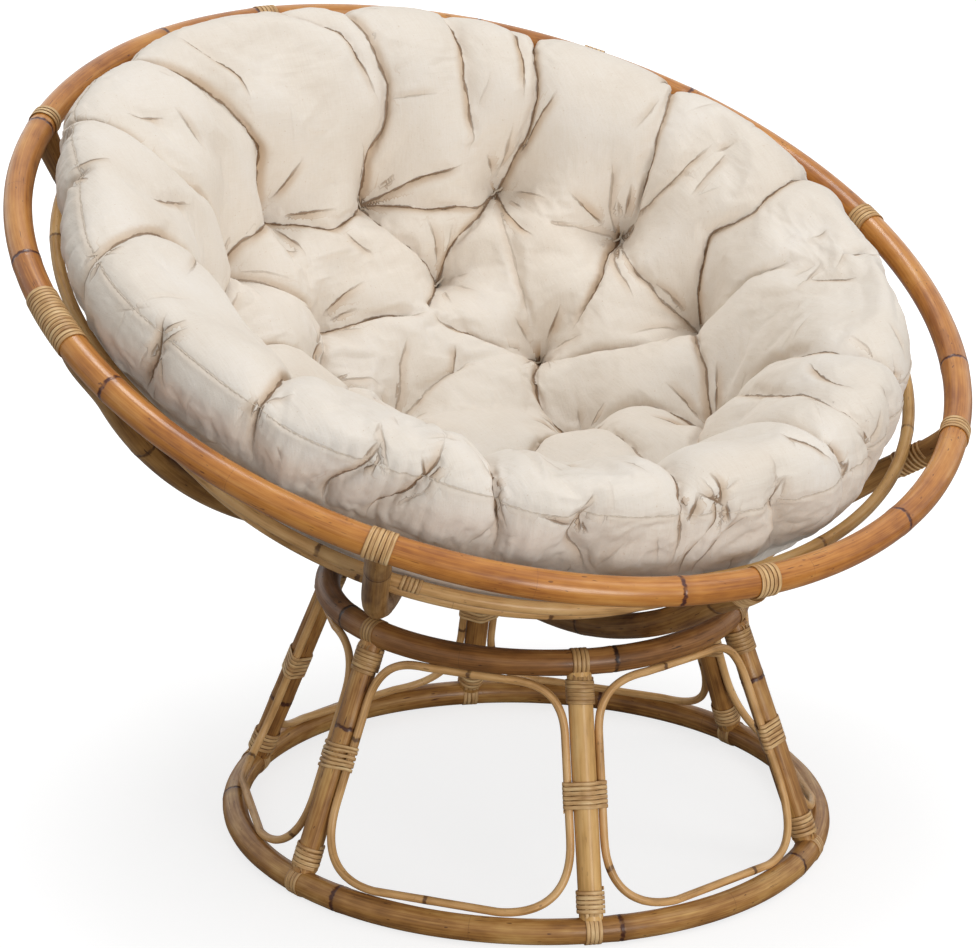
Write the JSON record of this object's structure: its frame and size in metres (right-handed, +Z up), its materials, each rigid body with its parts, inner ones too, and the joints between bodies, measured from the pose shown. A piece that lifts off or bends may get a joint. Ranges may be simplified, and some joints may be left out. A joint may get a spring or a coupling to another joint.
{
  "type": "papasan chair",
  "caption": "Round rattan bowl seat with a tufted cushion, resting loose on a splayed rattan ring stand whose legs and rings are tied with wound strands.",
  "frame": {"origin": "middle of the chair's box, on the floor it stands on", "axes": "+Z up; -Y towards the bowl's low side, where a person sits down; +X to the right of someone who looks along +Y"},
  "size_m": [1.0784, 1.0048, 0.8292],
  "materials": {
    "rim_rattan": "varnished",
    "stand_rattan": "varnished",
    "thin_rattan": "satin",
    "rattan_peel": "satin",
    "canvas": "matte"
  },
  "bodies": {
    "stand": {"base_bottom_ring": "stand_rattan", "base_top_ring": "stand_rattan", "leg_1": "stand_rattan", "leg_2": "stand_rattan", "leg_3": "stand_rattan", "leg_4": "stand_rattan", "leg_5": "stand_rattan", "leg_6": "stand_rattan", "stand_loop_1": "thin_rattan", "stand_loop_2": "thin_rattan", "stand_loop_3": "thin_rattan", "stand_loop_4": "thin_rattan", "stand_loop_5": "thin_rattan", "stand_loop_6": "thin_rattan", "leg_1_top_binding": "rattan_peel", "leg_2_top_binding": "rattan_peel", "leg_3_top_binding": "rattan_peel", "leg_4_top_binding": "rattan_peel", "leg_5_top_binding": "rattan_peel", "leg_6_top_binding": "rattan_peel", "leg_1_middle_binding": "rattan_peel", "leg_2_middle_binding": "rattan_peel", "leg_3_middle_binding": "rattan_peel", "leg_4_middle_binding": "rattan_peel", "leg_5_middle_binding": "rattan_peel", "leg_6_middle_binding": "rattan_peel", "leg_1_bottom_binding": "rattan_peel", "leg_2_bottom_binding": "rattan_peel", "leg_3_bottom_binding": "rattan_peel", "leg_4_bottom_binding": "rattan_peel", "leg_5_bottom_binding": "rattan_peel", "leg_6_bottom_binding": "rattan_peel"},
    "bowl": {"bowl_rim": "rim_rattan", "bowl_arm_1": "stand_rattan", "bowl_arm_2": "stand_rattan", "bowl_arm_3": "stand_rattan", "bowl_arm_4": "stand_rattan", "bowl_arm_5": "stand_rattan", "bowl_arm_6": "stand_rattan", "bowl_arm_7": "stand_rattan", "bowl_arm_8": "stand_rattan", "bowl_ring_upper": "thin_rattan", "bowl_ring_middle_1": "thin_rattan", "bowl_ring_middle_2": "thin_rattan", "bowl_ring_lower": "thin_rattan", "bowl_ring_hub": "thin_rattan", "bowl_arm_1_binding": "rattan_peel", "bowl_arm_2_binding": "rattan_peel", "bowl_arm_3_binding": "rattan_peel", "bowl_arm_4_binding": "rattan_peel", "bowl_arm_5_binding": "rattan_peel", "bowl_arm_6_binding": "rattan_peel", "bowl_arm_8_binding": "rattan_peel", "rim_splice_binding": "rattan_peel"},
    "cushion_pad": {"cushion": "canvas"}
  },
  "joints": [
    {"name": "bowl_tilt", "type": "hinge", "parent": "stand", "child": "bowl", "pos_m": [0.00033, -0.08009, 0.81253], "axis": [1, 0, 0], "range_deg": [-21.2, 10]},
    {"name": "cushion_lift", "type": "slide", "parent": "bowl", "child": "cushion_pad", "axis": [0, -0.3616, 0.9323], "range_m": [0, 0.35]}
  ]
}
